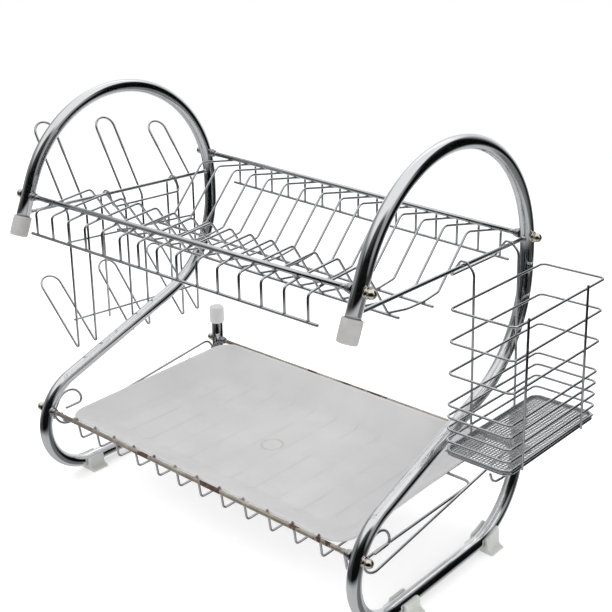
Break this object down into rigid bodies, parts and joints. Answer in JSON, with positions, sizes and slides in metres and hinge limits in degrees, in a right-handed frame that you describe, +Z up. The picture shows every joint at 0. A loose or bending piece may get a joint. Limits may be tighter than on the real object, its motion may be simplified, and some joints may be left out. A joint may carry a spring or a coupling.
{
  "type": "dish drying rack",
  "caption": "Two-tier chrome dish drying rack on S-shaped tube frames, with drip tray, side cup holder and side cutlery basket.",
  "frame": {"origin": "centre of the rack's bounding box on the floor", "axes": "+X to the cutlery basket's side, +Y to the back, +Z up"},
  "size_m": [0.545, 0.2682, 0.3983],
  "materials": {
    "chrome_tube": "polished",
    "chrome_wire": "polished",
    "rail_metal": "polished",
    "bolt_metal": "polished",
    "spacer_metal": "satin",
    "cap_plastic": "satin",
    "foot_plastic": "satin",
    "tray_plastic": "satin"
  },
  "bodies": {
    "rack": {"frame_tube_left": "chrome_tube", "crossbar_left": "chrome_wire", "scroll_brace_left": "chrome_wire", "leg_cap_left": "cap_plastic", "upright_cap_left": "cap_plastic", "foot_front_left": "foot_plastic", "foot_rear_left": "foot_plastic", "bolt_upper_front_left": "bolt_metal", "spacer_upper_front_left": "spacer_metal", "bolt_upper_rear_left": "bolt_metal", "spacer_upper_rear_left": "spacer_metal", "bolt_lower_front_left": "bolt_metal", "spacer_lower_front_left": "spacer_metal", "bolt_lower_rear_left": "bolt_metal", "spacer_lower_rear_left": "spacer_metal", "frame_tube_right": "chrome_tube", "crossbar_right": "chrome_wire", "scroll_brace_right": "chrome_wire", "leg_cap_right": "cap_plastic", "upright_cap_right": "cap_plastic", "foot_front_right": "foot_plastic", "foot_rear_right": "foot_plastic", "bolt_upper_front_right": "bolt_metal", "spacer_upper_front_right": "spacer_metal", "bolt_upper_rear_right": "bolt_metal", "spacer_upper_rear_right": "spacer_metal", "bolt_lower_front_right": "bolt_metal", "spacer_lower_front_right": "spacer_metal", "bolt_lower_rear_right": "bolt_metal", "spacer_lower_rear_right": "spacer_metal", "upper_front_rail": "chrome_wire", "upper_rear_rail": "chrome_wire", "upper_wire_panel": "chrome_wire", "lower_front_rail": "rail_metal", "lower_rear_rail": "rail_metal", "lower_wire_panel": "chrome_wire"},
    "drip_tray": {"drip_tray": "tray_plastic"},
    "cup_holder": {"cup_holder_frame": "chrome_wire", "cup_prongs_front": "chrome_wire", "cup_prongs_middle": "chrome_wire", "cup_prongs_rear": "chrome_wire"},
    "cutlery_basket": {"cutlery_basket": "chrome_wire", "cutlery_basket_floor": "chrome_wire"}
  },
  "joints": [
    {"name": "tray_lift", "type": "slide", "parent": "rack", "child": "drip_tray", "axis": [0, 0, 1], "range_m": [0, 0.08]},
    {"name": "cup_holder_lift", "type": "slide", "parent": "rack", "child": "cup_holder", "axis": [0, 0, 1], "range_m": [0, 0.03]},
    {"name": "cutlery_basket_lift", "type": "slide", "parent": "rack", "child": "cutlery_basket", "axis": [0, 0, 1], "range_m": [0, 0.018]}
  ]
}
